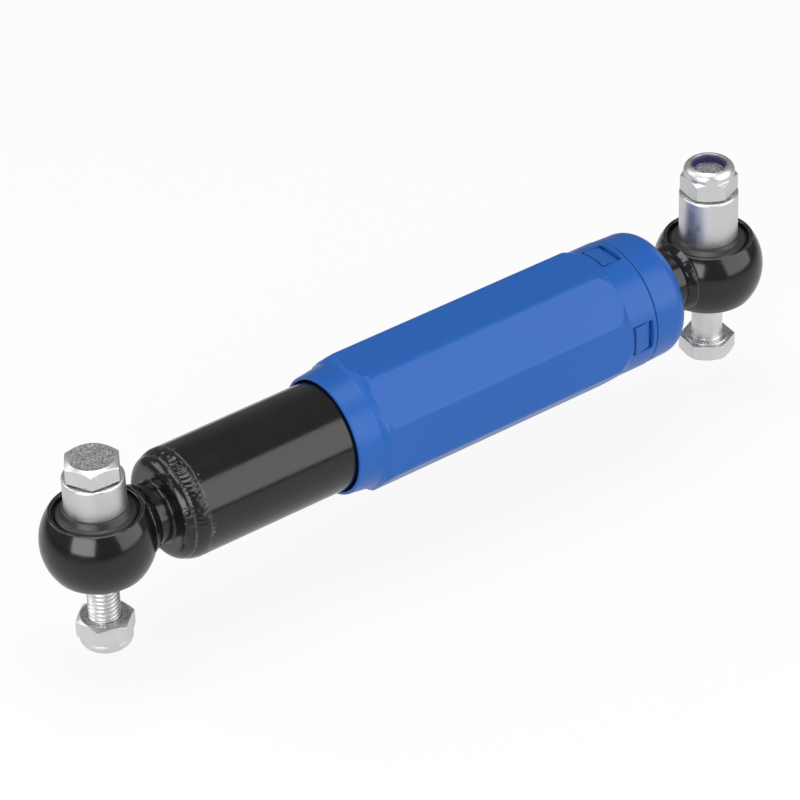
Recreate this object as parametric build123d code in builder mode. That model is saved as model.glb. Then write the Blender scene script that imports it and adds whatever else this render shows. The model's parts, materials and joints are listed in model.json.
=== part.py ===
from build123d import *
from math import cos, radians, sin, sqrt
import os

# Trailer shock absorber: a hydraulic twin-tube damper between two ball-shaped eyes.
# Frame: +X runs along the damper from the cylinder eye to the rod eye, +Z along the
# bolts. The origin is the centre of the lower seat face of the cylinder eye's sleeve.

# Fits between pieces
run_gap = 0.05
bond_gap = 0.05
bolt_gap = 0.25
seat_gap = 0.1
stop_gap = 0.5

# Eyes: barrel rings, rubber bushes and inner sleeves
eye_spacing = 280.0
ball_radius = 21.0
eye_width_share = 7 / 12
rim_width = 1.35
rim_chamfer = 0.4
bush_recess = 2.4
bush_flat = 1.1
cylinder_bush_rise = 2.5
rod_bush_rise = 1.4
lower_bush_rise = 1.4
bush_wall = 4.45
sleeve_edge = 0.8
sleeve_lead = 0.5
sleeve_foot = 1.35
cylinder_sleeve_stand = 12.25
rod_sleeve_stand = 18.85

# Bolts and self-locking nuts, M12
thread_radius = 6.0
spanner_size = 19.0
head_height = 7.5
washer_face_radius = 8.4
washer_face_height = 0.5
bolt_tip_chamfer = 1.2
cylinder_bolt_length = 70.0
rod_bolt_length = 75.0
nut_height = 12.0
nut_hex_height = 7.6
nut_foot_chamfer = 1.3
nut_top_radius = 7.4
nut_lip_radius = 6.7
nut_lip_height = 0.8
insert_radius = 7.8
insert_height = 2.8
cylinder_nut_overhang = 2.7
rod_nut_overhang = 1.8
cylinder_head_turn = -3.5
cylinder_nut_turn = 18.0
rod_head_turn = -24.0
rod_nut_turn = 24.0

# Outer tube, end cap and welds
tube_radius = 21.0
tube_wall = 2.0
tube_lip = 2.0
tube_lip_width = 6.5
tube_lip_round = 1.4
neck_length = 4.0
neck_radius = 11.5
neck_fillet = 1.0
cap_step = 1.3
cap_corner = 4.5
cap_corner_length = 3.5
cap_wall = 3.0
cap_spigot_wall = 2.0
cap_spigot_length = 11.5
bead_width = 6.0
bead_crown = 0.35
eye_weld_leg = 2.2

# Pressure tube, foot valve, rod guide and seal
reserve_gap = 4.0
pressure_wall = 1.5
foot_flange = 3.0
foot_flange_gap = 0.8
foot_web_height = 4.5
foot_rim = 2.7
foot_slot_count = 4
foot_slot_width = 3.2
foot_slot_height = 1.6
foot_port_count = 6
foot_port_radius = 1.3
foot_port_inset = 5.3
foot_disc_inset = 3.3
rivet_radius = 3.0
rivet_head_radius = 5.0
rivet_head_height = 2.4
rivet_tail_height = 1.6
disc_thickness = 0.6
spring_inset = 3.9
spring_thickness = 0.4
spring_finger_count = 6
spring_slot_width = 2.4
guide_length = 13.0
guide_flange = 4.5
guide_bush_wall = 1.0
seal_length = 3.5
seal_lip_width = 1.2
seal_hollow = 2.5
seal_washer_thickness = 1.0
seal_washer_gap = 2.0

# Piston, rod and stops
rod_radius = 6.0
spigot_radius = 4.5
piston_length = 10.0
piston_port_count = 6
piston_port_radius = 1.2
piston_port_inset = 4.9
ring_width = 4.0
ring_depth = 1.1
ring_gap = 0.02
ring_split = 0.6
piston_disc_inset = 2.9
piston_washer_radius = 7.5
piston_washer_thickness = 1.2
piston_nut_size = 14.0
piston_nut_height = 4.8
spigot_stickout = 0.6
rebound_washer = 1.5
rebound_inset = 2.5
rebound_length = 4.5
travel_out = 45.0
foot_clearance = 2.1
bump_length = 4.8
bump_inset = 3.5
bump_groove = 1.4

# Rod boss, cover plate and dust cover
boss_length = 7.6
socket_floor = 1.7
plate_thickness = 2.5
plate_inset = 2.2
plate_gap = 0.15
mouth_clearance = 8.0
mouth_gap = 0.8
mouth_wall = 1.2
mouth_round = 0.5
collar_length = 10.0
collar_flare = 1.2
shoulder_length = 1.8
shoulder_flare = 1.1
cover_wall = 1.8
side_count = 8
corner_round = 3.0
run_in = 3.6
run_out = 8.5
band_length = 12.3
end_edge = 0.3
window_inset = 1.9
window_length = 9.4
window_width = 12.4
window_count = 4
window_round = 0.6
hook_gap = 0.4
catch_gap = 1.3
hook_sink = 0.2
hook_slope = 1.1
hook_lead = 0.9
parting_gap = 0.3
end_wall = 3.6
end_cap_length = 16.8
end_cap_sink = 0.2
end_cap_drop = 0.6
end_cap_round = 7.0
end_cap_wall = 2.2
skirt_wall = 1.6
skirt_gap = 0.1
skirt_run_gap = 0.6
skirt_depth = 14.0
boss_gap = 0.8
snap_bead = 0.7
snap_bead_width = 1.2

# Eye places and radii, worked out from the sizes above
eye_half_width = ball_radius * eye_width_share
rim_radius = sqrt(ball_radius**2 - eye_half_width**2)
eye_bore_radius = rim_radius - rim_width
sleeve_radius = eye_bore_radius - bush_wall
seat_depth = eye_half_width + lower_bush_rise + sleeve_foot
cylinder_sleeve_top = eye_half_width + cylinder_bush_rise + cylinder_sleeve_stand
rod_sleeve_top = eye_half_width + rod_bush_rise + rod_sleeve_stand
hex_reach = 0.6 * spanner_size
cylinder_head_seat = cylinder_sleeve_top + seat_gap
cylinder_bolt_drop = cylinder_bolt_length - cylinder_head_seat
cylinder_nut_drop = cylinder_bolt_drop + cylinder_nut_overhang - nut_height
rod_nut_seat = rod_sleeve_top + seat_gap
rod_bolt_drop = rod_bolt_length - rod_nut_seat - nut_height + rod_nut_overhang

# Places along the damper from its foot
axis_z = seat_depth
damper_plane = Plane(origin=(0, 0, axis_z), x_dir=(1, 0, 0), z_dir=(0, -1, 0))
damper_axis = Axis((0, 0, axis_z), (1, 0, 0))
tube_bore = tube_radius - tube_wall
pressure_radius = tube_bore - reserve_gap
bore_radius = pressure_radius - pressure_wall
cap_radius = tube_radius - cap_step
cap_face = ball_radius + neck_length
bead_start = cap_face + cap_corner_length
bead_end = bead_start + bead_width
cap_spigot_end = bead_start + cap_spigot_length
foot_seat = cap_face + cap_wall
foot_web = foot_seat + foot_flange
foot_top = foot_web + foot_web_height
foot_disc_radius = bore_radius - foot_disc_inset
spring_top = foot_top + disc_thickness + spring_thickness

# Places along the damper from its rod end; what is left between is shared by the two travels
boss_radius = neck_radius
end_face = eye_spacing - ball_radius - boss_length
plate_end = end_face - end_wall
plate_start = plate_end - plate_thickness
rod_end = eye_spacing - ball_radius - socket_floor
head_length = tube_lip + seal_washer_thickness + seal_length + guide_length + stop_gap
stack_length = piston_length + 2 * disc_thickness + rebound_washer + piston_washer_thickness
stack_length = stack_length + rebound_length + piston_nut_height + spigot_stickout
inner_room = plate_start - bump_length - stop_gap - head_length - stack_length
inner_room = inner_room - spring_top - rivet_head_height - foot_clearance
travel_in = (inner_room - travel_out) / 2
tube_end = plate_start - bump_length - stop_gap - travel_in
seal_end = tube_end - tube_lip - seal_washer_thickness
guide_end = seal_end - seal_length
guide_start = guide_end - guide_length
rebound_end = guide_start - stop_gap - travel_out
rod_shoulder = rebound_end - rebound_length
piston_top = rod_shoulder - rebound_washer - disc_thickness
piston_foot = piston_top - piston_length
piston_nut_top = piston_foot - disc_thickness - piston_washer_thickness
spigot_end = piston_nut_top - piston_nut_height - spigot_stickout
piston_disc_radius = bore_radius - piston_disc_inset
rebound_radius = bore_radius - rebound_inset
bump_start = plate_start - bump_length
bump_radius = tube_radius - bump_inset

# The cover keeps clear of the tube all round, and of the bead at full compression
cover_mouth = bead_end + travel_in + mouth_clearance
cover_mouth_radius = tube_radius + mouth_gap + mouth_wall
collar_end = cover_mouth + collar_length
collar_radius = cover_mouth_radius + collar_flare
shoulder_end = collar_end + shoulder_length
shoulder_radius = collar_radius + shoulder_flare
skirt_bore = tube_radius + skirt_run_gap
skirt_radius = skirt_bore + skirt_wall
cover_bore = skirt_radius + skirt_gap
flat_radius = cover_bore + cover_wall
corner_radius = flat_radius / cos(radians(180 / side_count))
end_cap_start = end_face - end_cap_length
end_cap_radius = flat_radius - end_cap_sink
cover_end = end_cap_start - parting_gap
band_start = cover_end - band_length
window_start = cover_end - window_inset - window_length
plate_radius = skirt_bore - plate_inset


def save(piece, name):
    piece.part.label = name
    export_step(piece.part, f"parts/{name}.step")


def ball_x(radius):
    """Distance along the damper from an eye's centre to its ball, at a radius from the axis."""
    return sqrt(ball_radius**2 - radius**2)


def eye_plane(centre):
    """Upright plane through an eye's bolt axis: local x is the radius, local y the height."""
    return Plane(origin=(centre, 0, axis_z), x_dir=(1, 0, 0), z_dir=(0, -1, 0))


def bolt_axis(centre):
    return Axis((centre, 0, 0), (0, 0, 1))


def cross_plane(x):
    """Plane square to the damper's axis, with its local z along +X."""
    return Plane(origin=(x, 0, axis_z), x_dir=(0, 1, 0), z_dir=(1, 0, 0))


def side_plane(angle):
    """Lengthwise plane through the axis: local x along +X, local y outwards at this angle."""
    turn = radians(angle)
    return Plane(origin=(0, 0, axis_z), x_dir=(1, 0, 0), z_dir=(0, -sin(turn), cos(turn)))


def outward_plane(angle):
    """Plane along the axis that faces outwards at this angle, with its local x along +X."""
    turn = radians(angle)
    return Plane(origin=(0, 0, axis_z), x_dir=(1, 0, 0), z_dir=(0, cos(turn), sin(turn)))


def outline(*points):
    """Closed outline beside the damper's axis, from corners given as (place along X, radius)."""
    with BuildSketch(damper_plane) as shape:
        with BuildLine():
            Polyline(*points, close=True)
        make_face()
    return shape.sketch


def turned(*points):
    """Body turned around the damper's axis from the corners of its outline."""
    with BuildPart() as body:
        revolve(outline(*points), axis=damper_axis)
    return body


def turned_ring(start, end, inner, outer):
    return turned((start, inner), (end, inner), (end, outer), (start, outer))


def circles(piece, x, radius):
    """The piece's circular edges at one place along the damper's axis."""
    found = piece.edges().filter_by(GeomType.CIRCLE)
    found = found.filter_by(lambda e: abs(e.radius - radius) < run_gap)
    return found.filter_by(lambda e: abs(e.arc_center.X - x) < run_gap)


# Eyes
def make_eye(centre):
    """Barrel ring: a ball cut flat above and below, bored for its rubber bush."""
    with BuildPart() as eye:
        with BuildSketch(eye_plane(centre)):
            with BuildLine():
                ThreePointArc((rim_radius, eye_half_width), (ball_radius, 0), (rim_radius, -eye_half_width))
                Polyline(
                    (rim_radius, -eye_half_width),
                    (eye_bore_radius, -eye_half_width),
                    (eye_bore_radius, eye_half_width),
                    (rim_radius, eye_half_width),
                )
            make_face()
        revolve(axis=bolt_axis(centre))
        inner_edges = eye.edges().filter_by(GeomType.CIRCLE).filter_by(
            lambda e: abs(e.radius - eye_bore_radius) < run_gap
        )
        chamfer(inner_edges, rim_chamfer)
    return eye


def make_eye_weld(centre, side):
    """Fillet weld around the neck, lying on the ball: side is +1 when the neck is on +X."""
    toe_radius = neck_radius + eye_weld_leg
    toe = (centre + side * ball_x(toe_radius), toe_radius)
    root = (centre + side * ball_x(neck_radius), neck_radius)
    middle_radius = neck_radius + eye_weld_leg / 2
    on_ball = (centre + side * ball_x(middle_radius), middle_radius)
    heel = (root[0] + side * eye_weld_leg, neck_radius)
    crown = (
        (toe[0] + heel[0]) / 2 + side * bead_crown,
        (toe[1] + heel[1]) / 2 + bead_crown,
    )
    with BuildPart() as weld:
        with BuildSketch(damper_plane):
            with BuildLine():
                ThreePointArc(toe, on_ball, root)
                Line(root, heel)
                ThreePointArc(heel, crown, toe)
            make_face()
        revolve(axis=damper_axis)
    return weld


def make_bush(centre, upper_rise):
    """Rubber bush: recessed beside the ring, swelling up to its sleeve on both sides."""
    inner = sleeve_radius + bond_gap
    shelf = eye_half_width - bush_recess
    foot = eye_bore_radius - bush_flat
    middle = (inner + foot) / 2
    top = eye_half_width + upper_rise
    bottom = -eye_half_width - lower_bush_rise
    with BuildPart() as bush:
        with BuildSketch(eye_plane(centre)):
            with BuildLine():
                ThreePointArc((inner, top), (middle, (2 * top + shelf) / 3), (foot, shelf))
                Polyline(
                    (foot, shelf),
                    (eye_bore_radius, shelf),
                    (eye_bore_radius, -shelf),
                    (foot, -shelf),
                )
                ThreePointArc((foot, -shelf), (middle, (2 * bottom - shelf) / 3), (inner, bottom))
                Line((inner, bottom), (inner, top))
            make_face()
        revolve(axis=bolt_axis(centre))
    return bush


def make_sleeve(centre, top):
    """Steel inner sleeve with its lower end face on the seat plane."""
    hole = thread_radius + bolt_gap
    with BuildPart() as sleeve:
        with BuildSketch(Plane(origin=(centre, 0, 0))):
            Circle(sleeve_radius)
            Circle(hole, mode=Mode.SUBTRACT)
        extrude(amount=seat_depth + top)
        rings = sleeve.edges().filter_by(GeomType.CIRCLE)
        fillet(rings.filter_by(lambda e: e.radius > hole + sleeve_edge), sleeve_edge)
        chamfer(rings.filter_by(lambda e: e.radius < hole + sleeve_edge), sleeve_lead)
    return sleeve


# Bolts and nuts
def hexagon_on(plane, turn):
    with BuildSketch(plane) as outline:
        RegularPolygon(spanner_size / 2, 6, major_radius=False, rotation=turn)
    return outline.sketch


def make_bolt(centre, bearing, up, length, turn):
    """Hexagon bolt. bearing is the height of the head's underside, up is +1 with the head on top."""
    flat = spanner_size / 2 - washer_face_height
    slope = (hex_reach - flat) / sqrt(3)
    base = Plane(origin=(centre, 0, axis_z + bearing), x_dir=(1, 0, 0), z_dir=(0, 0, up))
    profile = Plane(origin=base.origin, x_dir=(1, 0, 0), z_dir=(0, -up, 0))
    with BuildPart() as bolt:
        extrude(hexagon_on(base.offset(washer_face_height), turn), amount=head_height - washer_face_height)
        with BuildSketch(profile):
            with BuildLine():
                Polyline(
                    (0, 0),
                    (hex_reach, 0),
                    (hex_reach, head_height - slope),
                    (flat, head_height),
                    (0, head_height),
                    close=True,
                )
            make_face()
        revolve(axis=bolt_axis(centre), mode=Mode.INTERSECT)
        with BuildSketch(base):
            Circle(washer_face_radius)
        extrude(amount=washer_face_height)
        with BuildSketch(base):
            Circle(thread_radius)
        extrude(amount=-length)
        tip = bolt.faces().sort_by(Axis((0, 0, 0), (0, 0, up)))[0]
        chamfer(tip.edges(), bolt_tip_chamfer)
    return bolt


def make_nut(centre, bearing, up, turn):
    """Self-locking nut: hexagon with a domed collar that holds the plastic ring."""
    flat = spanner_size / 2
    foot = flat - nut_foot_chamfer / 2
    slope = (hex_reach - foot) / sqrt(3)
    shoulder_rise = (hex_reach - flat) / sqrt(3)
    pocket_top = nut_height - nut_lip_height
    pocket_foot = pocket_top - insert_height
    hole = thread_radius + run_gap
    base = Plane(origin=(centre, 0, axis_z + bearing), x_dir=(1, 0, 0), z_dir=(0, 0, up))
    profile = Plane(origin=base.origin, x_dir=(1, 0, 0), z_dir=(0, -up, 0))
    dome = ((flat + nut_top_radius) / 2 + nut_lip_height, (nut_hex_height + nut_height) / 2 + nut_lip_height)
    with BuildPart() as nut:
        extrude(hexagon_on(base, turn), amount=nut_height)
        with BuildSketch(profile):
            with BuildLine():
                Polyline(
                    (0, 0),
                    (foot, 0),
                    (hex_reach, slope),
                    (hex_reach, nut_hex_height - shoulder_rise),
                    (flat, nut_hex_height),
                )
                ThreePointArc((flat, nut_hex_height), dome, (nut_top_radius, nut_height))
                Polyline((nut_top_radius, nut_height), (0, nut_height), (0, 0))
            make_face()
        revolve(axis=bolt_axis(centre), mode=Mode.INTERSECT)
        with BuildSketch(base):
            Circle(hole)
        extrude(amount=nut_height, mode=Mode.SUBTRACT)
        with BuildSketch(base.offset(pocket_foot)):
            Circle(insert_radius)
        extrude(amount=insert_height, mode=Mode.SUBTRACT)
        with BuildSketch(base.offset(pocket_top)):
            Circle(nut_lip_radius)
        extrude(amount=nut_lip_height, mode=Mode.SUBTRACT)
    return nut


def make_insert(centre, bearing, up):
    """Plastic locking ring held in the nut's collar."""
    pocket_foot = nut_height - nut_lip_height - insert_height
    base = Plane(origin=(centre, 0, axis_z + bearing), x_dir=(1, 0, 0), z_dir=(0, 0, up))
    with BuildPart() as insert:
        with BuildSketch(base.offset(pocket_foot)):
            Circle(insert_radius)
            Circle(thread_radius + run_gap, mode=Mode.SUBTRACT)
        extrude(amount=insert_height)
    return insert


# Cylinder: end cap, tube and their weld
def make_end_cap():
    """Pressed end cap with its neck, shaped to the ball of the cylinder eye."""
    well = tube_bore - cap_spigot_wall
    with BuildPart() as cap:
        with BuildSketch(damper_plane):
            with BuildLine():
                ThreePointArc(
                    (ball_radius, 0),
                    (ball_x(neck_radius / 2), neck_radius / 2),
                    (ball_x(neck_radius), neck_radius),
                )
                Line((ball_x(neck_radius), neck_radius), (cap_face - neck_fillet, neck_radius))
                TangentArc(
                    (cap_face - neck_fillet, neck_radius),
                    (cap_face, neck_radius + neck_fillet),
                    tangent=(1, 0),
                )
                Line((cap_face, neck_radius + neck_fillet), (cap_face, cap_radius - cap_corner))
                TangentArc(
                    (cap_face, cap_radius - cap_corner),
                    (bead_start, cap_radius),
                    tangent=(0, 1),
                )
                Polyline(
                    (bead_start, cap_radius),
                    (bead_start, tube_bore),
                    (cap_spigot_end, tube_bore),
                    (cap_spigot_end, well),
                    (foot_seat, well),
                    (foot_seat, 0),
                    (ball_radius, 0),
                )
            make_face()
        revolve(axis=damper_axis)
    return cap


def make_end_cap_weld():
    """Bead in the groove between the end cap's shoulder and the tube."""
    middle = (bead_start + bead_end) / 2
    with BuildPart() as bead:
        with BuildSketch(damper_plane):
            with BuildLine():
                Polyline(
                    (bead_start, cap_radius),
                    (bead_start, tube_bore),
                    (bead_end, tube_bore),
                    (bead_end, tube_radius),
                )
                ThreePointArc(
                    (bead_end, tube_radius),
                    (middle, (cap_radius + tube_radius) / 2 + bead_crown),
                    (bead_start, cap_radius),
                )
            make_face()
        revolve(axis=damper_axis)
    return bead


def make_outer_tube():
    with BuildPart() as tube:
        corners = outline(
            (bead_end, tube_bore),
            (tube_end - tube_lip, tube_bore),
            (tube_end - tube_lip, tube_radius - tube_lip_width),
            (tube_end, tube_radius - tube_lip_width),
            (tube_end, tube_radius),
            (bead_end, tube_radius),
        )
        revolve(corners, axis=damper_axis)
        fillet(circles(tube, tube_end, tube_radius), tube_lip_round)
    return tube


# Foot valve
def make_foot_valve_body():
    """Valve body that closes the pressure tube, with oil slots under its flange."""
    flange = tube_bore - cap_spigot_wall - foot_flange_gap
    hollow = bore_radius - foot_rim
    with BuildPart() as body:
        corners = outline(
            (foot_seat, hollow),
            (foot_seat, flange),
            (foot_web, flange),
            (foot_web, bore_radius),
            (foot_top, bore_radius),
            (foot_top, rivet_radius),
            (foot_web, rivet_radius),
            (foot_web, hollow),
        )
        revolve(corners, axis=damper_axis)
        with BuildSketch(cross_plane(foot_seat)):
            with PolarLocations(flange, foot_slot_count):
                Rectangle(flange, foot_slot_width)
        extrude(amount=foot_slot_height, mode=Mode.SUBTRACT)
        with BuildSketch(cross_plane(foot_web)):
            with PolarLocations(bore_radius - foot_port_inset, foot_port_count):
                Circle(foot_port_radius)
        extrude(amount=foot_web_height, mode=Mode.SUBTRACT)
    return body


def make_foot_valve_spring():
    """Flat star spring that holds the intake disc down."""
    spring_radius = bore_radius - spring_inset
    slot_length = (spring_radius + rivet_radius) / 2
    with BuildPart() as spring:
        with BuildSketch(cross_plane(foot_top + disc_thickness)):
            Circle(spring_radius)
            Circle(rivet_radius, mode=Mode.SUBTRACT)
            with PolarLocations(spring_radius, spring_finger_count):
                Rectangle(slot_length, spring_slot_width, mode=Mode.SUBTRACT)
        extrude(amount=spring_thickness)
    return spring


def make_foot_valve_rivet():
    tail = foot_web - disc_thickness
    return turned(
        (tail - rivet_tail_height, 0),
        (tail - rivet_tail_height, rivet_head_radius),
        (tail, rivet_head_radius),
        (tail, rivet_radius),
        (spring_top, rivet_radius),
        (spring_top, rivet_head_radius),
        (spring_top + rivet_head_height, rivet_head_radius),
        (spring_top + rivet_head_height, 0),
    )


# Rod guide and seal
def make_rod_guide():
    """Guide that centres the pressure tube and carries the rod's bush."""
    pocket = rod_radius + guide_bush_wall
    return turned(
        (guide_start, pocket),
        (guide_start, bore_radius),
        (guide_end - guide_flange, bore_radius),
        (guide_end - guide_flange, tube_bore),
        (guide_end, tube_bore),
        (guide_end, pocket),
    )


def make_rod_seal():
    """Rubber seal, hollowed on the oil side so that its lip grips the rod."""
    bore = rod_radius + run_gap
    lip = bore + seal_lip_width
    hollow_end = guide_end + seal_hollow
    return turned(
        (guide_end, bore),
        (guide_end, lip),
        (hollow_end, lip),
        (hollow_end, lip + seal_hollow),
        (guide_end, lip + seal_hollow),
        (guide_end, tube_bore),
        (seal_end, tube_bore),
        (seal_end, bore),
    )


# Piston and rod
def make_piston():
    groove_start = (piston_foot + piston_top - ring_width) / 2
    groove_end = groove_start + ring_width
    outside = bore_radius - run_gap
    with BuildPart() as piston:
        corners = outline(
            (piston_foot, spigot_radius),
            (piston_foot, outside),
            (groove_start, outside),
            (groove_start, outside - ring_depth),
            (groove_end, outside - ring_depth),
            (groove_end, outside),
            (piston_top, outside),
            (piston_top, spigot_radius),
        )
        revolve(corners, axis=damper_axis)
        with BuildSketch(cross_plane(piston_foot)):
            with PolarLocations(bore_radius - piston_port_inset, piston_port_count):
                Circle(piston_port_radius)
        extrude(amount=piston_length, mode=Mode.SUBTRACT)
    return piston


def make_piston_ring():
    """Split band in the piston's groove."""
    start = (piston_foot + piston_top - ring_width) / 2 + run_gap
    end = start + ring_width - 2 * run_gap
    with BuildPart() as ring:
        with BuildSketch(cross_plane(start)):
            Circle(bore_radius - ring_gap)
            Circle(bore_radius - ring_depth, mode=Mode.SUBTRACT)
        extrude(amount=end - start)
        with Locations((start + ring_width / 2, 0, axis_z + bore_radius)):
            Box(2 * ring_width, ring_split, 4 * ring_depth, mode=Mode.SUBTRACT)
    return ring


def make_piston_nut():
    with BuildPart() as nut:
        with BuildSketch(cross_plane(piston_nut_top - piston_nut_height)):
            RegularPolygon(piston_nut_size / 2, 6, major_radius=False)
            Circle(spigot_radius, mode=Mode.SUBTRACT)
        extrude(amount=piston_nut_height)
    return nut


def make_piston_rod():
    with BuildPart() as rod:
        corners = outline(
            (spigot_end, 0),
            (spigot_end, spigot_radius),
            (rod_shoulder, spigot_radius),
            (rod_shoulder, rod_radius),
            (rod_end, rod_radius),
            (rod_end, 0),
        )
        revolve(corners, axis=damper_axis)
        chamfer(circles(rod, spigot_end, spigot_radius), spigot_stickout)
    return rod


def make_bump_stop():
    """Rubber buffer around the rod, grooved at its waist."""
    middle = (bump_start + plate_start) / 2
    half = bump_groove / 2
    return turned(
        (bump_start, rod_radius),
        (bump_start, bump_radius),
        (middle - half, bump_radius),
        (middle, bump_radius - bump_groove),
        (middle + half, bump_radius),
        (plate_start, bump_radius),
        (plate_start, rod_radius),
    )


def make_rod_boss():
    """Boss between the rod and its eye, shaped to the ball."""
    with BuildPart() as boss:
        with BuildSketch(damper_plane):
            with BuildLine():
                ThreePointArc(
                    (eye_spacing - ball_radius, 0),
                    (eye_spacing - ball_x(boss_radius / 2), boss_radius / 2),
                    (eye_spacing - ball_x(boss_radius), boss_radius),
                )
                Polyline(
                    (eye_spacing - ball_x(boss_radius), boss_radius),
                    (plate_start, boss_radius),
                    (plate_start, rod_radius),
                    (rod_end, rod_radius),
                    (rod_end, 0),
                    (eye_spacing - ball_radius, 0),
                )
            make_face()
        revolve(axis=damper_axis)
    return boss


# Dust cover
def rounded_octagon(flat, rounding):
    with BuildSketch() as shape:
        RegularPolygon(flat, side_count, major_radius=False, rotation=180 / side_count)
        fillet(shape.vertices(), rounding)
    return shape.sketch


def cover_body(inset, mouth_inset):
    """The cover's outer shape, or with insets the hollow inside it.

    It is turned first, and its middle is then cut down to an octagon, so that the flats
    run out in curves at both ends.
    """
    band = flat_radius - inset
    corner = corner_radius - inset
    with BuildPart() as body:
        with BuildSketch(damper_plane):
            with BuildLine():
                Polyline(
                    (cover_mouth, 0),
                    (cover_mouth, cover_mouth_radius - mouth_inset),
                    (collar_end, collar_radius - inset),
                    (shoulder_end, shoulder_radius - inset),
                )
                TangentArc(
                    (shoulder_end + run_in, corner),
                    (shoulder_end, shoulder_radius - inset),
                    tangent=(-1, 0),
                )
                Line((shoulder_end + run_in, corner), (band_start - run_out, corner))
                TangentArc(
                    (band_start - run_out, corner),
                    (band_start, band),
                    tangent=(1, 0),
                )
                Polyline((band_start, band), (cover_end, band), (cover_end, 0), (cover_mouth, 0))
            make_face()
        revolve(axis=damper_axis)
        with BuildSketch(cross_plane(shoulder_end)):
            Circle(2 * corner_radius)
            add(rounded_octagon(band, corner_round - inset), mode=Mode.SUBTRACT)
        extrude(amount=band_start - shoulder_end, mode=Mode.SUBTRACT)
    return body.part


def make_dust_cover():
    """Octagonal sleeve of even wall, with snap windows in its round end."""
    solid = cover_body(0, 0)
    hollow = cover_body(cover_wall, mouth_wall)
    with BuildPart() as cover:
        add(solid)
        add(hollow, mode=Mode.SUBTRACT)
        for index in range(window_count):
            with BuildSketch(outward_plane(index * 360 / window_count)):
                with Locations((window_start + window_length / 2, 0)):
                    RectangleRounded(window_length, window_width, window_round)
            extrude(amount=2 * flat_radius, mode=Mode.SUBTRACT)
        fillet(circles(cover, cover_mouth, cover_mouth_radius), mouth_round)
        chamfer(circles(cover, cover_end, flat_radius), end_edge)
    return cover


def make_cover_end_cap():
    """Rounded end of the cover: its skirt hooks into the windows and snaps over the plate."""
    hole = boss_radius + boss_gap
    pocket = plate_radius + plate_gap
    wall_inside = end_cap_radius - end_cap_wall
    bead_foot = plate_start - snap_bead_width
    hook_start = window_start + hook_gap
    hook_end = window_start + window_length - catch_gap
    hook_face = flat_radius - hook_sink
    hook_back = hook_face - hook_slope
    with BuildPart() as cap:
        corners = outline(
            (end_cap_start - skirt_depth, skirt_bore),
            (end_cap_start - skirt_depth, skirt_radius),
            (end_cap_start, skirt_radius),
            (end_cap_start, end_cap_radius),
            (end_face, end_cap_radius - end_cap_drop),
            (end_face, hole),
            (plate_end, hole),
            (plate_end, pocket),
            (plate_start, pocket),
            (plate_start, pocket - snap_bead),
            (bead_foot, pocket - snap_bead),
            (bead_foot - snap_bead_width, wall_inside),
            (end_cap_start + end_cap_wall, wall_inside),
            (end_cap_start + end_cap_wall, skirt_bore),
        )
        revolve(corners, axis=damper_axis)
        fillet(circles(cap, end_face, end_cap_radius - end_cap_drop), end_cap_round)
        chamfer(circles(cap, end_cap_start, end_cap_radius), end_edge)
        for index in range(window_count):
            with BuildSketch(side_plane(index * 360 / window_count)):
                with BuildLine():
                    Polyline(
                        (hook_start, skirt_bore + skirt_wall / 2),
                        (hook_start, skirt_radius + skirt_gap),
                        (hook_start + hook_lead, hook_face),
                        (hook_end, hook_back),
                        (hook_end, skirt_bore + skirt_wall / 2),
                        close=True,
                    )
                make_face()
            extrude(amount=window_width / 2 - hook_gap, both=True)
    return cap


# Cylinder side
save(make_eye(0), "cylinder_eye")
save(make_bush(0, cylinder_bush_rise), "cylinder_bush")
save(make_eye_weld(0, 1), "cylinder_eye_weld")
save(make_end_cap(), "end_cap")
save(make_end_cap_weld(), "end_cap_weld")
save(make_outer_tube(), "outer_tube")
save(turned_ring(foot_web, guide_end - guide_flange, bore_radius, pressure_radius), "pressure_tube")
save(make_foot_valve_body(), "foot_valve_body")
save(turned_ring(foot_top, foot_top + disc_thickness, rivet_radius, foot_disc_radius), "foot_intake_disc")
save(turned_ring(foot_web - disc_thickness, foot_web, rivet_radius, foot_disc_radius), "foot_blow_off_disc")
save(make_foot_valve_spring(), "foot_valve_spring")
save(make_foot_valve_rivet(), "foot_valve_rivet")
save(make_rod_guide(), "rod_guide")
save(turned_ring(guide_start, guide_end, rod_radius + run_gap, rod_radius + guide_bush_wall), "guide_bush")
save(make_rod_seal(), "rod_seal")
save(turned_ring(seal_end, tube_end - tube_lip, rod_radius + seal_washer_gap, tube_bore), "seal_washer")

# Rod side
save(make_piston_ring(), "piston_ring")
save(make_piston(), "piston")
save(turned_ring(piston_top, piston_top + disc_thickness, spigot_radius, piston_disc_radius), "piston_upper_disc")
save(turned_ring(piston_foot - disc_thickness, piston_foot, spigot_radius, piston_disc_radius), "piston_lower_disc")
save(turned_ring(piston_nut_top, piston_foot - disc_thickness, spigot_radius, piston_washer_radius), "piston_washer")
save(make_piston_nut(), "piston_nut")
save(make_piston_rod(), "piston_rod")
save(turned_ring(rod_shoulder - rebound_washer, rod_shoulder, spigot_radius, rebound_radius), "rebound_washer")
save(turned_ring(rod_shoulder, rebound_end, rod_radius, rebound_radius), "rebound_stop")
save(make_bump_stop(), "bump_stop")
save(make_rod_boss(), "rod_boss")
save(turned_ring(plate_start, plate_end, boss_radius, plate_radius), "cover_plate")
save(make_dust_cover(), "dust_cover")
save(make_cover_end_cap(), "cover_end_cap")
save(make_eye(eye_spacing), "rod_eye")
save(make_eye_weld(eye_spacing, -1), "rod_eye_weld")
save(make_bush(eye_spacing, rod_bush_rise), "rod_bush")

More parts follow.
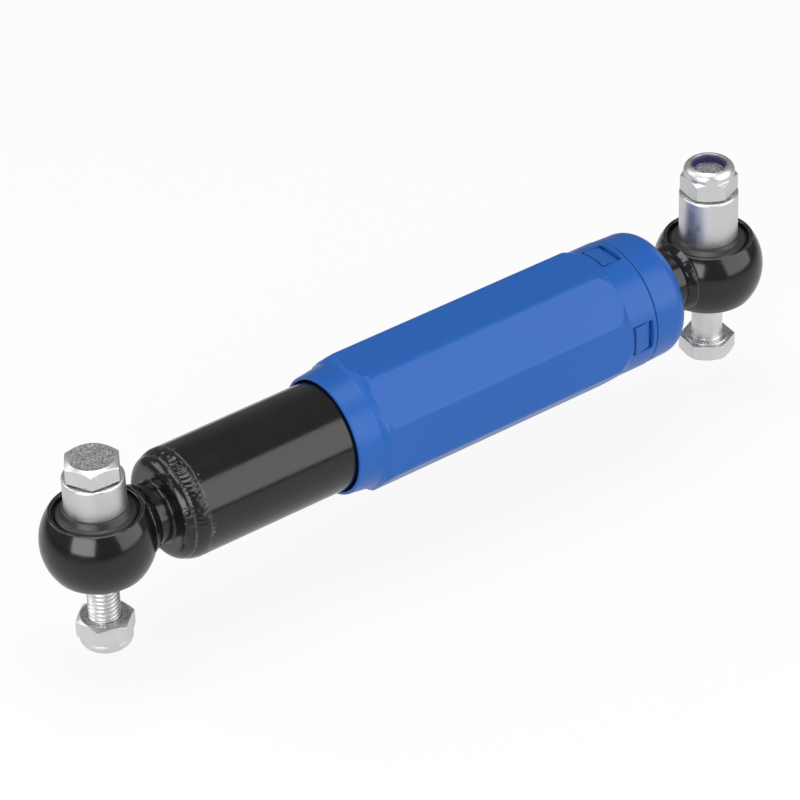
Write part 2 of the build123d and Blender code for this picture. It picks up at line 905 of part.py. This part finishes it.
# Bolts, nuts and sleeves
save(make_sleeve(0, cylinder_sleeve_top), "cylinder_sleeve")
save(make_bolt(0, cylinder_head_seat, 1, cylinder_bolt_length, cylinder_head_turn), "cylinder_bolt")
save(make_nut(0, -cylinder_nut_drop, -1, cylinder_nut_turn), "cylinder_nut")
save(make_insert(0, -cylinder_nut_drop, -1), "cylinder_nut_ring")
save(make_sleeve(eye_spacing, rod_sleeve_top), "rod_sleeve")
save(make_bolt(eye_spacing, -rod_bolt_drop, -1, rod_bolt_length, rod_head_turn), "rod_bolt")
save(make_nut(eye_spacing, rod_nut_seat, 1, rod_nut_turn), "rod_nut")
save(make_insert(eye_spacing, rod_nut_seat, 1), "rod_nut_ring")
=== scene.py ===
"""Looks for the trailer shock absorber: materials, threads, welds, bushes, light and camera."""

import json
import math
import random

import bmesh
import bpy
from mathutils import Matrix, Vector, noise


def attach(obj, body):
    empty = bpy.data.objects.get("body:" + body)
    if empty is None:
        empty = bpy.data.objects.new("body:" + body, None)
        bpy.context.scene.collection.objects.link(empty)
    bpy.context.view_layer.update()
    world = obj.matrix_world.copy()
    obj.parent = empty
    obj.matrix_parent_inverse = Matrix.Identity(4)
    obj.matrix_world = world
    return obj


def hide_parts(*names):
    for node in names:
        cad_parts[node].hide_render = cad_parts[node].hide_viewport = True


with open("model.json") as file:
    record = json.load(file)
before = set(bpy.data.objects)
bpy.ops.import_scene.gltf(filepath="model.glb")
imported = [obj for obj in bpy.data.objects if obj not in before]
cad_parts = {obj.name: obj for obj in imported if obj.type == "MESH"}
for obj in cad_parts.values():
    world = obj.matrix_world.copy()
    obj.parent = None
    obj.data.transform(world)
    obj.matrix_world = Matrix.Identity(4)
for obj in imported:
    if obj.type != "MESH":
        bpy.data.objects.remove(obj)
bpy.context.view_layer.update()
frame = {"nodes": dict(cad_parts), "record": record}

# The pieces' lengths are millimetres, as in the CAD, and MM turns them into metres.
# X runs along the damper from the cylinder's eye to the rod's, and Z runs up along the bolts.
MM = 0.001
TURN = 2 * math.pi
AXIS_Z = 15.0
EYE_SPACING = 280.0
EYE_HALF_HEIGHT = 12.25
BALL_RADIUS = 21.0
NECK_RADIUS = 11.5
TUBE_RADIUS = 21.0


# Materials, whose lengths are metres

NOISE_LOW, NOISE_HIGH = 0.3, 0.7              # a noise pattern lies mostly between these
COLOUR_A, COLOUR_B, COLOUR_RESULT = 6, 7, 2   # colour sockets of a Mix node


class Shader:
    """Adds nodes to one material and links them."""

    def __init__(self, name):
        self.material = bpy.data.materials.new(name)
        self.material.use_nodes = True
        self.tree = self.material.node_tree
        self.bsdf = self.tree.nodes["Principled BSDF"]
        self.place = self.add("ShaderNodeTexCoord").outputs["Object"]

    def add(self, kind, **settings):
        node = self.tree.nodes.new(kind)
        for key, value in settings.items():
            setattr(node, key, value)
        return node

    def link(self, source, target):
        self.tree.links.new(source, target)

    def set(self, **values):
        for key, value in values.items():
            self.bsdf.inputs[key.replace("_", " ")].default_value = value

    def noise(self, scale, detail, stretch=(1, 1, 1)):
        mapping = self.add("ShaderNodeMapping")
        mapping.inputs["Scale"].default_value = stretch
        self.link(self.place, mapping.inputs["Vector"])
        node = self.add("ShaderNodeTexNoise")
        node.inputs["Scale"].default_value = scale
        node.inputs["Detail"].default_value = detail
        self.link(mapping.outputs["Vector"], node.inputs["Vector"])
        return node.outputs["Fac"]

    def spread(self, source, source_low, source_high, low=0.0, high=1.0):
        """Maps one range of numbers onto another, and stops at its ends."""
        node = self.add("ShaderNodeMapRange")
        node.inputs["From Min"].default_value = source_low
        node.inputs["From Max"].default_value = source_high
        node.inputs["To Min"].default_value = low
        node.inputs["To Max"].default_value = high
        self.link(source, node.inputs["Value"])
        return node.outputs["Result"]

    def maximum(self, first, second):
        node = self.add("ShaderNodeMath", operation="MAXIMUM")
        self.link(first, node.inputs[0])
        self.link(second, node.inputs[1])
        return node.outputs[0]

    def mix_colours(self, source, dark, light, low=NOISE_LOW, high=NOISE_HIGH):
        """Runs from a dark colour to a light one as a pattern rises from low to high."""
        node = self.add("ShaderNodeValToRGB")
        node.color_ramp.elements[0].position = low
        node.color_ramp.elements[0].color = (*dark, 1)
        node.color_ramp.elements[1].position = high
        node.color_ramp.elements[1].color = (*light, 1)
        self.link(source, node.inputs["Fac"])
        return node.outputs["Color"]

    def colours(self, source, dark, light):
        self.link(self.mix_colours(source, dark, light), self.bsdf.inputs["Base Color"])

    def two_colours(self, factor, usual, other):
        """The usual colour where the factor is 0, and the other where it is 1."""
        node = self.add("ShaderNodeMix", data_type="RGBA")
        self.link(factor, node.inputs["Factor"])
        self.link(usual, node.inputs[COLOUR_A])
        self.link(other, node.inputs[COLOUR_B])
        self.link(node.outputs[COLOUR_RESULT], self.bsdf.inputs["Base Color"])

    def flat_ends(self):
        """One on faces that look straight up or down the bolts, and nothing elsewhere.

        A face counts in full up to 16 degrees off, and not at all from 26 degrees on.
        """
        parts = self.add("ShaderNodeSeparateXYZ")
        facing = self.add("ShaderNodeNewGeometry").outputs["True Normal"]
        self.link(facing, parts.inputs["Vector"])
        size = self.add("ShaderNodeMath", operation="ABSOLUTE")
        self.link(parts.outputs["Z"], size.inputs[0])
        return self.spread(size.outputs[0], 0.90, 0.96)

    def rounded(self, radius):
        """Normals as if each edge were rounded, so that edges catch the light."""
        node = self.add("ShaderNodeBevel", samples=6)
        node.inputs["Radius"].default_value = radius
        return node.outputs["Normal"]

    def edges(self, rounded):
        """One where rounded normals leave the surface's own, so along edges, and else nothing.

        It starts where they are 8 degrees apart and is full from 26 degrees on.
        """
        align = self.add("ShaderNodeVectorMath", operation="DOT_PRODUCT")
        self.link(rounded, align.inputs[0])
        self.link(self.add("ShaderNodeNewGeometry").outputs["Normal"], align.inputs[1])
        return self.spread(align.outputs["Value"], 0.99, 0.90)

    def rough(self, source, low, high):
        level = self.spread(source, NOISE_LOW, NOISE_HIGH, low, high)
        self.link(level, self.bsdf.inputs["Roughness"])

    def bump(self, source, distance, strength, rounded=None):
        node = self.add("ShaderNodeBump")
        if rounded:
            self.link(rounded, node.inputs["Normal"])
        node.inputs["Strength"].default_value = strength
        node.inputs["Distance"].default_value = distance
        self.link(source, node.inputs["Height"])
        self.link(node.outputs["Normal"], self.bsdf.inputs["Normal"])


def gloss_black():
    """Smooth black enamel, lighter along its edges, convex and concave alike: some wear, and a
    painted highlight where edges would catch the light.
    """
    s = Shader("gloss_black_enamel")
    enamel = s.mix_colours(s.noise(45, 5), (0.0042, 0.0042, 0.0045), (0.0070, 0.0070, 0.0075))
    # Painted highlight mixed with wear: a lighter speckled grey along edges, standing in for edges
    # catching the light.
    wear_and_highlight = s.mix_colours(s.noise(260, 4), (0.012, 0.012, 0.012), (0.19, 0.19, 0.185))
    rounded = s.rounded(0.0007)
    s.two_colours(s.edges(rounded), enamel, wear_and_highlight)
    s.rough(s.noise(260, 3), 0.13, 0.19)
    s.bump(s.noise(160, 1), 0.00006, 0.2, rounded)
    s.set(Specular_IOR_Level=0.5, Coat_Weight=0.1, Coat_Roughness=0.1)
    return s.material


def zinc():
    """Bright plating. Faces square to the bolts, which are as forged or cut, get dark and bright
    speckle painted on as the glints of their pits.
    """
    s = Shader("bright_zinc_plate")
    # Painted glints: dark-to-bright speckle on the forged ends, standing in for light mirrored off
    # their pits.
    painted_glints = s.mix_colours(
        s.noise(1500, 6), (0.30, 0.30, 0.305), (0.94, 0.94, 0.93), 0.36, 0.64
    )
    plate = s.mix_colours(s.noise(70, 6), (0.72, 0.72, 0.72), (0.84, 0.84, 0.84))
    s.two_colours(s.flat_ends(), plate, painted_glints)
    s.rough(s.noise(320, 4), 0.36, 0.46)
    s.link(s.rounded(0.0005), s.bsdf.inputs["Normal"])
    s.set(Metallic=1.0)
    return s.material


def blue_cover():
    """Satin moulded plastic."""
    s = Shader("blue_moulded_plastic")
    s.colours(s.noise(14, 1), (0.0118, 0.093, 0.366), (0.0145, 0.099, 0.384))
    s.rough(s.noise(60, 1), 0.295, 0.335)
    s.bump(s.noise(120, 1), 0.00004, 0.15, s.rounded(0.0006))
    s.set(Specular_IOR_Level=0.30)
    return s.material


def rubber():
    s = Shader("dark_rubber")
    s.colours(s.noise(110, 6), (0.020, 0.020, 0.020), (0.032, 0.032, 0.032))
    s.rough(s.noise(400, 5), 0.30, 0.46)
    s.bump(s.noise(900, 5), 0.0001, 0.5)
    return s.material


def metal(name, dark, light, low, high, grain=(1, 1, 1)):
    s = Shader(name)
    s.colours(s.noise(90, 5, grain), dark, light)
    s.rough(s.noise(500, 4, grain), low, high)
    s.bump(s.noise(900, 4, grain), 0.00004, 0.4)
    s.set(Metallic=1.0)
    return s.material


def plastic(name, dark, light, low, high):
    s = Shader(name)
    s.colours(s.noise(120, 4), dark, light)
    s.rough(s.noise(300, 4), low, high)
    s.bump(s.noise(800, 4), 0.00005, 0.4)
    return s.material


def grey(level):
    return (level, level, level)


# Narrow along X, as the marks of turning are
TURNED = (12, 1, 1)

materials = {
    "black_paint": gloss_black(),
    "zinc_plate": zinc(),
    "blue_plastic": blue_cover(),
    "rubber": rubber(),
    "steel": metal("oiled_steel", grey(0.36), grey(0.50), 0.28, 0.42, TURNED),
    "hard_chrome": metal(
        "hard_chrome", (0.68, 0.68, 0.70), (0.74, 0.74, 0.76), 0.05, 0.1, TURNED
    ),
    "sintered_steel": metal("sintered_steel", grey(0.14), grey(0.24), 0.45, 0.62),
    "bearing_bronze": metal(
        "bearing_bronze", (0.46, 0.29, 0.13), (0.62, 0.41, 0.20), 0.28, 0.4
    ),
    "nylon": plastic("violet_nylon", (0.026, 0.020, 0.085), (0.036, 0.028, 0.115), 0.35, 0.5),
    "ptfe": plastic("filled_ptfe", (0.07, 0.06, 0.05), (0.11, 0.10, 0.09), 0.4, 0.55),
}
slot_of = {part["node"]: part["material_slot"] for part in frame["record"]["subparts"]}
for node_name, node in frame["nodes"].items():
    for place in node.material_slots:
        place.material = materials[slot_of[node_name]]


# Edges of the two eyes' rims, which are rounded by the paint

for eye_name in ("cylinder_eye", "rod_eye"):
    rounding = frame["nodes"][eye_name].modifiers.new("painted_edge", "BEVEL")
    rounding.width = 0.4 * MM
    rounding.segments = 3
    rounding.limit_method = "ANGLE"
    rounding.angle_limit = math.radians(35)


# Mesh pieces

# Edges sharper than this many degrees stay sharp
BOLT_SHARP = 28
RING_SHARP = 50
SPATTER_SHARP = 60


def add_ring(mesh, points):
    return [mesh.verts.new(Vector(point) * MM) for point in points]


def join_rings(mesh, first, second):
    for i in range(len(first)):
        j = (i + 1) % len(first)
        mesh.faces.new((first[i], first[j], second[j], second[i]))


def close_end(mesh, ring):
    centre = mesh.verts.new(sum((v.co for v in ring), Vector()) / len(ring))
    for i in range(len(ring)):
        mesh.faces.new((ring[i], ring[(i + 1) % len(ring)], centre))


def finish_piece(name, mesh, slot, body, node, sharp_angle):
    """Turns a mesh into a piece that rides on a body and may stand for a CAD node."""
    bmesh.ops.remove_doubles(mesh, verts=mesh.verts, dist=1e-7)
    bmesh.ops.recalc_face_normals(mesh, faces=mesh.faces)
    data = bpy.data.meshes.new(name)
    mesh.to_mesh(data)
    mesh.free()
    piece = bpy.data.objects.new(name, data)
    bpy.context.scene.collection.objects.link(piece)
    data.materials.append(materials[slot])
    data.shade_smooth()
    data.set_sharp_from_angle(angle=math.radians(sharp_angle))
    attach(piece, body)
    if node:
        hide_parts(node)
    return piece


def closed_ring(name, section, count, place, slot, body, node):
    """A ring-shaped piece.

    section(angle) gives its cross-section there, and place(angle, u, v) puts a point in space.
    """
    mesh = bmesh.new()
    loops = []
    for i in range(count):
        angle = TURN * i / count
        loops.append(add_ring(mesh, [place(angle, u, v) for u, v in section(angle)]))
    for i in range(count):
        loop, following = loops[i], loops[(i + 1) % count]
        for k in range(len(loop)):
            n = (k + 1) % len(loop)
            mesh.faces.new((loop[k], loop[n], following[n], following[k]))
    return finish_piece(name, mesh, slot, body, node, RING_SHARP)


# Bolts with real threads. Heights are measured from the head's underside.

SEGMENTS = 96
ACROSS_FLATS = 19.0
HEAD_HEIGHT = 7.5
HEAD_FLAT_RADIUS = ACROSS_FLATS / 2 - 1.2
CHAMFER_DROP = 2.0
CHAMFER_SLOPE = math.sqrt(3)
SMALL_EDGE = 0.15
WASHER_HEIGHT = 0.5
WASHER_RADIUS = 8.4
NECK_FILLET = 0.35
PITCH = 1.75
THREAD_RADIUS = 5.95
THREAD_DEPTH = 0.95
THREAD_STEPS = 16
RUN_OUT_TURNS = 1.5
TIP_RADIUS = THREAD_RADIUS - 1.2


def hex_radius(angle, turn):
    part = (angle - turn) % (TURN / 6) - TURN / 12
    return ACROSS_FLATS / 2 / math.cos(part)


def thread_radius(phase):
    """ISO thread profile along one pitch: a flat crest, 60 degree flanks and a flat root."""
    p = phase % 1.0
    flank = 5 / 16
    crest = 1 / 8
    if p < flank:
        drop = 1 - p / flank
    elif p < flank + crest:
        drop = 0
    elif p < 2 * flank + crest:
        drop = (p - flank - crest) / flank
    else:
        drop = 1
    return THREAD_RADIUS - THREAD_DEPTH * drop


def forged_ring(height, radius, rough):
    """One ring of an as-forged face, which is pitted all over."""
    heights = []
    for i in range(SEGMENTS):
        angle = TURN * i / SEGMENTS
        spot = Vector((radius * math.cos(angle), radius * math.sin(angle), height))
        pits = noise.noise(spot * 1.3) + 0.8 * noise.noise(spot * 3.1)
        heights.append(height + rough * pits)
    return heights, [radius] * SEGMENTS


def level_ring(height, radius):
    """One ring at one height. The radius is a number, or a list with one for each segment."""
    radii = radius if isinstance(radius, list) else [radius] * SEGMENTS
    return [height] * SEGMENTS, radii


def head_rings(turn):
    """The head, from the middle of its sunken as-forged top down to the shank."""
    rings = []
    for k in range(16):
        rings.append(forged_ring(HEAD_HEIGHT - 0.12, 0.5 + 0.45 * k, 0.05))
    rings.append(level_ring(HEAD_HEIGHT, HEAD_FLAT_RADIUS - 0.3))
    rings.append(level_ring(HEAD_HEIGHT, HEAD_FLAT_RADIUS))
    hexagon = [hex_radius(TURN * i / SEGMENTS, turn) for i in range(SEGMENTS)]
    steps = 14
    for k in range(1, steps + 1):
        height = HEAD_HEIGHT - CHAMFER_DROP * (k / steps) ** 1.5
        cone = HEAD_FLAT_RADIUS + (HEAD_HEIGHT - height) * CHAMFER_SLOPE
        rings.append(level_ring(height, [min(cone, radius) for radius in hexagon]))
    rings.append(level_ring(WASHER_HEIGHT + SMALL_EDGE, hexagon))
    rings.append(level_ring(WASHER_HEIGHT, [radius - SMALL_EDGE for radius in hexagon]))
    rings.append(level_ring(WASHER_HEIGHT, WASHER_RADIUS))
    rings.append(level_ring(0, WASHER_RADIUS))
    rings.append(level_ring(0, THREAD_RADIUS + NECK_FILLET))
    rings.append(level_ring(-NECK_FILLET, THREAD_RADIUS))
    return rings


def thread_rings(length, thread_length):
    """The thread, which runs out towards the head and is chamfered at the tip."""
    start = thread_length - length
    rings = [level_ring(start + 0.01, THREAD_RADIUS)]
    for k in range(int(thread_length / PITCH * THREAD_STEPS) + 1):
        height = start - k * PITCH / THREAD_STEPS
        run_in = min(1.0, (start - height) / (RUN_OUT_TURNS * PITCH))
        chamfer = TIP_RADIUS + max(height + length, 0)
        radii = []
        for i in range(SEGMENTS):
            cut = THREAD_RADIUS - thread_radius(k / THREAD_STEPS + i / SEGMENTS)
            radii.append(min(THREAD_RADIUS - cut * run_in, chamfer))
        rings.append(level_ring(height, radii))
    return rings


def tip_rings(length):
    """The bolt's rough end, from its chamfer to the middle."""
    return [forged_ring(-length, TIP_RADIUS - 0.5 * k, 0.06) for k in range(9)]


def make_bolt(name, centre, bearing, up, length, thread_length, turn, body, node):
    """A bolt whose head bears at a height above the axis, with up=-1 for one put in from below."""
    mesh = bmesh.new()
    rings = []
    shape = head_rings(math.radians(turn)) + thread_rings(length, thread_length)
    for heights, radii in shape + tip_rings(length):
        points = []
        for i in range(SEGMENTS):
            angle = TURN * i / SEGMENTS
            points.append((
                centre + radii[i] * math.cos(angle),
                up * radii[i] * math.sin(angle),
                AXIS_Z + bearing + up * heights[i],
            ))
        rings.append(add_ring(mesh, points))
    for first, second in zip(rings, rings[1:]):
        join_rings(mesh, first, second)
    close_end(mesh, rings[0])
    close_end(mesh, rings[-1])
    finish_piece(name, mesh, "zinc_plate", body, node, BOLT_SHARP)


make_bolt("threaded_cylinder_bolt", 0, 27.1, 1, 70, 30, -3.5, "cylinder_bolt", "cylinder_bolt")
make_bolt("threaded_rod_bolt", EYE_SPACING, -32.2, -1, 74, 32, -24, "rod_bolt", "rod_bolt")


# Weld beads

CAP_BEAD_START, CAP_BEAD_END = 28.5, 34.5
CAP_BEAD_FOOT = 19.7


def around(angle, along, radius):
    """A point at an angle from straight up, turning towards the front, around the damper."""
    return (along, -radius * math.sin(angle), AXIS_Z + radius * math.cos(angle))


def bell(value, middle, width):
    return math.exp(-((value - middle) / width) ** 2)


def cap_bead_section(angle):
    """Coarse and lumpy on top, where the run starts, then finely rippled, then almost smooth."""
    inner = 18.98
    ceiling = TUBE_RADIUS + 0.25
    steps = 24
    degrees = math.degrees((angle + math.pi) % TURN - math.pi)
    coarse = bell(degrees, 0, 19)
    fine = 1 / (1 + math.exp((abs(degrees - 20) - 62) / 5))
    outline = [(CAP_BEAD_END, inner), (CAP_BEAD_START, inner)]
    for k in range(steps + 1):
        t = k / steps
        along = CAP_BEAD_START + (CAP_BEAD_END - CAP_BEAD_START) * t
        crown = math.sin(math.pi * t)
        border_grooves = 0.30 * bell(t, 0.04, 0.035) + 0.22 * bell(t, 0.95, 0.03)
        slope = CAP_BEAD_FOOT + (TUBE_RADIUS - CAP_BEAD_FOOT) * t
        base = slope + 0.42 * crown - border_grooves
        ripple = math.sin(68 * (angle - 0.06 * crown)) * crown ** 0.6
        spot = Vector((along * 0.9, 17 * math.sin(angle), 17 * math.cos(angle)))
        uneven = (noise.noise(spot * 0.5) + 0.6 * noise.noise(spot * 1.3)) * crown
        ripples = (0.02 + 0.10 * fine) * ripple
        lumps = (0.04 + 0.42 * coarse + 0.08 * fine) * uneven
        outline.append((along, min(base + ripples + lumps, ceiling - 0.3 * (1 - t))))
    return outline


closed_ring(
    "cap_weld_bead", cap_bead_section, 720, around, "black_paint", "cylinder", "end_cap_weld"
)


def eye_bead(name, centre, side, lumpiness, body, node):
    """A fillet between an eye's ball and the neck on one side of it, +1 or -1 along X."""
    leg = 2.2
    sunk = 0.3
    steps = 10
    toe_radius = NECK_RADIUS + leg
    toe = centre + side * math.sqrt(BALL_RADIUS**2 - toe_radius**2)
    root = centre + side * math.sqrt(BALL_RADIUS**2 - NECK_RADIUS**2)
    heel = root + side * leg
    hidden = [
        (heel, NECK_RADIUS), (heel, NECK_RADIUS - sunk),
        (root - side * sunk, NECK_RADIUS - sunk), (toe - side * 0.2, toe_radius - sunk),
    ]

    def section(angle):
        outline = list(hidden)
        for k in range(steps):
            t = k / steps
            along = toe + (heel - toe) * t
            radius = toe_radius + (NECK_RADIUS - toe_radius) * t
            crown = math.sin(math.pi * t)
            ripple = 0.03 * math.sin(40 * (angle - 0.05 * crown))
            spot = Vector((centre + 2 * t, 5 * math.sin(angle), 5 * math.cos(angle)))
            uneven = 0.45 * noise.noise(spot * 0.8) + 0.12 * noise.noise(spot * 2.4)
            proud = 0.7 * (0.34 + ripple + lumpiness * uneven) * crown
            outline.append((along + side * proud, radius + proud))
        return outline

    closed_ring(name, section, 360, around, "black_paint", body, node)


eye_bead("cylinder_eye_bead", 0, 1, 1.0, "cylinder", "cylinder_eye_weld")
eye_bead("rod_eye_bead", EYE_SPACING, -1, 0.35, "rod", "rod_eye_weld")


# Weld spatter

CAP_CORNER_X = 29.5
CAP_CORNER_RADIUS = 4.5
CAP_FACE_RADIUS = 15.2
SPATTER_COUNT = 34


def add_drop(mesh, centre, outward, radius, height, seed):
    """A flattened, slightly uneven drop of weld metal on a surface."""
    made = bmesh.ops.create_icosphere(mesh, subdivisions=3, radius=1.0)["verts"]
    turn = outward.to_track_quat("Z", "Y")
    for vert in made:
        point = vert.co
        uneven = 1 + 0.22 * noise.noise(point * 1.6 + Vector((seed, 0, 0)))
        point = Vector((point.x * radius, point.y * radius, point.z * height)) * uneven
        vert.co = (centre + turn @ point) * MM


def cap_surface(angle, along):
    """Point and outward direction on the cap's rounded corner, its bead or the tube's start."""
    out = Vector((0, -math.sin(angle), math.cos(angle)))
    axis_point = Vector((along, 0, AXIS_Z))
    if along < CAP_CORNER_X:
        across = CAP_CORNER_X - along
        rise = math.sqrt(max(CAP_CORNER_RADIUS**2 - across**2, 0))
        normal = (Vector((-across, 0, 0)) + out * rise).normalized()
        return axis_point + out * (CAP_FACE_RADIUS + rise), normal
    radius = TUBE_RADIUS if along > CAP_BEAD_END else CAP_BEAD_FOOT + 0.5
    return axis_point + out * radius, out


def make_spatter():
    """One crater-shaped lump on the cap's corner, and small drops along the bead's two sides."""
    rng = random.Random(11)
    mesh = bmesh.new()
    point, normal = cap_surface(math.radians(66), 27.0)
    add_drop(mesh, point, normal, 2.3, 0.5, 3.1)
    add_drop(mesh, point + normal * 0.3, normal, 1.3, 0.5, 8.7)
    for index in range(SPATTER_COUNT):
        angle = math.radians(rng.uniform(-25, 105))
        along = rng.choice((rng.uniform(25.3, 28.6), rng.uniform(34.7, 36.0)))
        point, normal = cap_surface(angle, along)
        radius = rng.uniform(0.25, 0.6)
        add_drop(mesh, point, normal, radius, radius * 0.45, index)
    finish_piece("weld_spatter", mesh, "black_paint", "cylinder", None, SPATTER_SHARP)


make_spatter()


# Rubber bushes

BUSH_INNER, BUSH_OUTER = 11.27, 15.7
SHELF = EYE_HALF_HEIGHT - 2.4

# Radius and height above the shelf, then radius and drop below the cone's end
BUSH_LIP = (
    (BUSH_OUTER, 0.0), (15.0, 0.1), (14.75, 0.5), (14.6, 1.1),
    (14.2, 1.6), (13.6, 2.0), (13.2, 2.1), (12.9, 2.35),
)
BUSH_CONE = ((12.5, 1.35), (12.1, 0.65), (11.8, 0.25), (11.5, 0.05), (BUSH_INNER, 0.0))


def bush_side(sign, rise):
    """One end of a bush: a groove beside the ring, a rolled lip, and a cone up to the sleeve."""
    end = EYE_HALF_HEIGHT + rise
    lip = [(radius, sign * (SHELF + height)) for radius, height in BUSH_LIP]
    cone = [(radius, sign * (end - drop)) for radius, drop in BUSH_CONE]
    return lip + cone


def make_bush(name, centre, upper_rise, lower_rise, body, node):
    """Moulded rubber that stands above and below its ring by the two rises."""
    outline = bush_side(1, upper_rise) + bush_side(-1, lower_rise)[::-1]

    def section(angle):
        return outline

    def place(angle, radius, height):
        return (centre + radius * math.cos(angle), radius * math.sin(angle), AXIS_Z + height)

    closed_ring(name, section, 128, place, "rubber", body, node)


make_bush("cylinder_eye_rubber", 0, 2.5, 1.4, "cylinder", "cylinder_bush")
make_bush("rod_eye_rubber", EYE_SPACING, 1.4, 1.4, "rod", "rod_bush")


# Floor, world, lamps and camera, in metres

FLOOR_SIZE = 6.0
FLOOR_LEVEL = -0.0432       # under the bolts' ends at every pose
FLOOR_WHITE_SHARE = 0.85
WORLD_LIGHT = 0.25
WORLD_SEEN = 0.88           # as pale as the far floor
LAMP_TARGET = Vector((0.14, 0, 0.01))

# Azimuth from +X and elevation in degrees, distance, width and height in metres, and watts
SOFTBOXES = {
    "right_wall": (-56, 22, 1.1, 1.25, 1.15, 9.4),
    "left_wall": (-155, 15, 1.1, 0.8, 0.6, 7.0),
    "back_wall": (135, 30, 1.3, 0.8, 0.6, 4.0),
    "overhead": (180, 86, 1.2, 0.8, 0.8, 7.5),
}


def floor_white(s, rays):
    """White to the camera; mirrored, it fades with distance as on a small lit table."""
    across = s.add("ShaderNodeVectorMath", operation="DISTANCE")
    across.inputs[1].default_value = (0.14, 0, -0.03)
    s.link(s.add("ShaderNodeNewGeometry").outputs["Position"], across.inputs[0])
    fade = s.spread(across.outputs["Value"], 0.28, 0.55, 0.72, 0.10)
    return s.maximum(rays["Is Camera Ray"], fade)


def white_floor():
    """Matt pale surface: to the camera and in reflections most of it is plain white."""
    s = Shader("pale_floor")
    s.set(Base_Color=(0.82, 0.82, 0.82, 1), Roughness=0.9, Specular_IOR_Level=0.0)
    rays = s.add("ShaderNodeLightPath").outputs
    seen = s.maximum(rays["Is Camera Ray"], rays["Is Glossy Ray"])
    seen = s.maximum(seen, rays["Is Transmission Ray"])
    weight = s.add("ShaderNodeMath", operation="MULTIPLY")
    weight.inputs[1].default_value = FLOOR_WHITE_SHARE
    s.link(seen, weight.inputs[0])
    white = s.add("ShaderNodeEmission")
    s.link(floor_white(s, rays), white.inputs["Strength"])
    blend = s.add("ShaderNodeMixShader")
    s.link(weight.outputs[0], blend.inputs["Fac"])
    s.link(s.bsdf.outputs["BSDF"], blend.inputs[1])
    s.link(white.outputs["Emission"], blend.inputs[2])
    s.link(blend.outputs["Shader"], s.tree.nodes["Material Output"].inputs["Surface"])
    return s.material


def make_floor():
    data = bpy.data.meshes.new("floor")
    corners = [
        (x * FLOOR_SIZE, y * FLOOR_SIZE, FLOOR_LEVEL)
        for x, y in ((-1, -1), (1, -1), (1, 1), (-1, 1))
    ]
    data.from_pydata(corners, [], [(0, 1, 2, 3)])
    floor = bpy.data.objects.new("floor", data)
    bpy.context.scene.collection.objects.link(floor)
    data.materials.append(white_floor())


def make_world():
    """A dim even studio, so that gloss black stays dark where no softbox or floor is mirrored.

    To the camera it is about as pale as the far floor, so that a low view's horizon is faint.
    """
    world = bpy.data.worlds.new("studio")
    bpy.context.scene.world = world
    world.use_nodes = True
    tree = world.node_tree
    back = tree.nodes["Background"]
    back.inputs["Color"].default_value = (1, 1, 1, 1)
    rays = tree.nodes.new("ShaderNodeLightPath")
    level = tree.nodes.new("ShaderNodeMapRange")
    level.inputs["To Min"].default_value = WORLD_LIGHT
    level.inputs["To Max"].default_value = WORLD_SEEN
    tree.links.new(rays.outputs["Is Camera Ray"], level.inputs["Value"])
    tree.links.new(level.outputs["Result"], back.inputs["Strength"])


def make_softbox(name, azimuth, elevation, distance, width, height, power):
    """A lamp that faces the damper's middle."""
    a, e = math.radians(azimuth), math.radians(elevation)
    out = Vector((math.cos(a) * math.cos(e), math.sin(a) * math.cos(e), math.sin(e)))
    data = bpy.data.lights.new(name, "AREA")
    data.shape = "RECTANGLE"
    data.size = width
    data.size_y = height
    data.energy = power
    lamp = bpy.data.objects.new(name, data)
    bpy.context.scene.collection.objects.link(lamp)
    lamp.location = LAMP_TARGET + out * distance
    lamp.rotation_euler = (-out).to_track_quat("-Z", "Y").to_euler()
    lamp.visible_camera = False


def make_camera():
    """The photograph's view, fitted from its bolts, eyes, sleeves and cover."""
    azimuth, elevation, roll = (math.radians(a) for a in (35.754, 34.592, -2.051))
    distance, shift_right, shift_up = 1552.9, -5.934, -2.231
    focal_pixels, image_pixels, sensor_width = 4232.0, 800, 36
    forward = Vector((
        math.sin(azimuth) * math.cos(elevation),
        math.cos(azimuth) * math.cos(elevation),
        -math.sin(elevation),
    ))
    right = Vector((math.cos(azimuth), -math.sin(azimuth), 0))
    up = right.cross(forward)
    right, up = (
        right * math.cos(roll) + up * math.sin(roll),
        -right * math.sin(roll) + up * math.cos(roll),
    )
    target = Vector((EYE_SPACING / 2, 0, AXIS_Z))
    eye = target - forward * distance + right * shift_right + up * shift_up
    data = bpy.data.cameras.new("camera")
    data.sensor_width = sensor_width
    data.lens = sensor_width * focal_pixels / image_pixels
    data.clip_start = 0.05
    data.clip_end = 50
    camera = bpy.data.objects.new("camera", data)
    bpy.context.scene.collection.objects.link(camera)
    turn = Matrix((right, up, -forward)).transposed().to_4x4()
    turn.translation = eye * MM
    camera.matrix_world = turn
    bpy.context.scene.camera = camera


make_floor()
make_world()
for lamp_name, settings in SOFTBOXES.items():
    make_softbox(lamp_name, *settings)
make_camera()
bpy.context.scene.view_settings.view_transform = "Standard"
